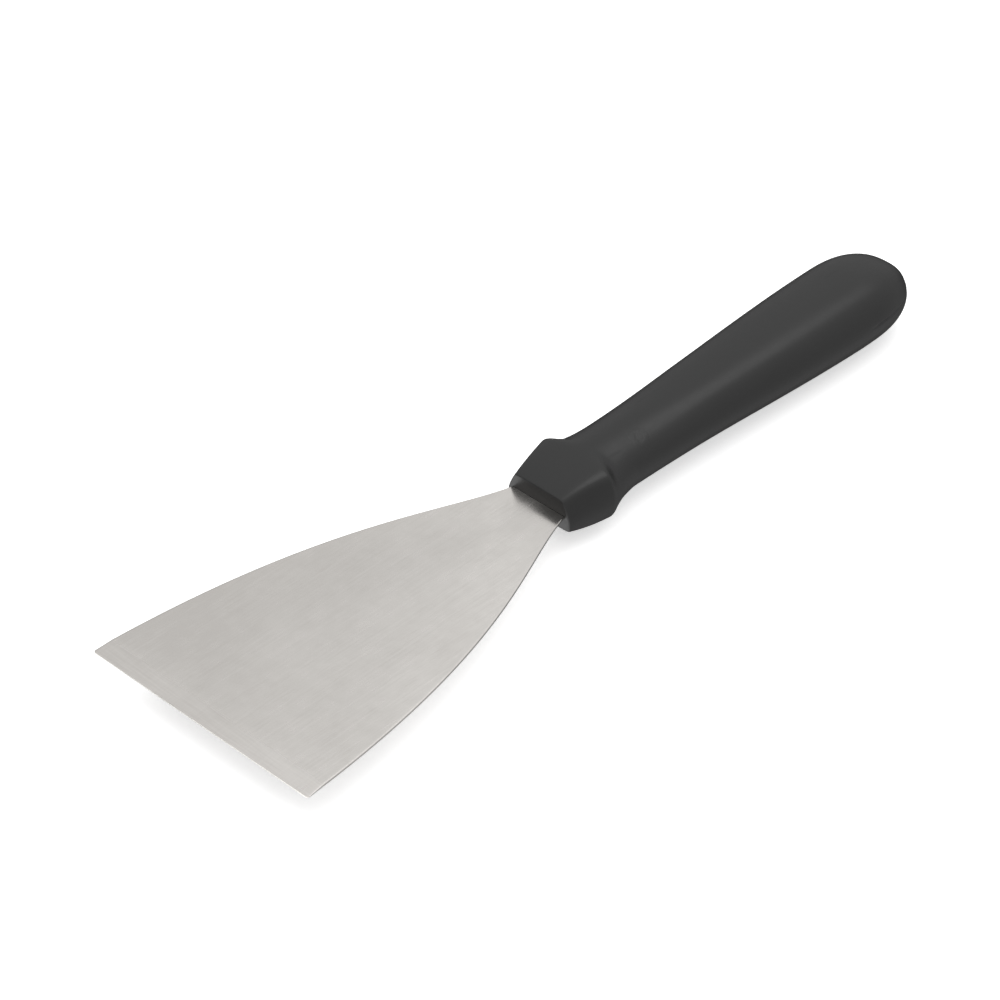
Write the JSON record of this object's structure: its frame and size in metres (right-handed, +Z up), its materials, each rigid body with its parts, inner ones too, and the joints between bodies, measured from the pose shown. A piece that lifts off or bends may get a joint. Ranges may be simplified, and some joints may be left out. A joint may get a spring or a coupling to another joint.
{
  "type": "bench scraper",
  "caption": "Hand scraper: fan-shaped satin steel blade with a straight ground front edge, its tang held in a black moulded handle with a faceted bolster, a narrow waist and a round butt.",
  "frame": {"origin": "under the middle of the whole tool, at the height of the handle's underside", "axes": "+X from the front edge to the butt, +Y across the blade, +Z up through the flat of the blade"},
  "size_m": [0.254, 0.076, 0.0212],
  "materials": {
    "blade_steel": "satin stainless, fine grain along the tool, ground band at the front edge",
    "handle_plastic": "black moulded polypropylene, smooth satin"
  },
  "bodies": {
    "root": {"blade": "blade_steel", "handle": "handle_plastic"}
  },
  "joints": []
}
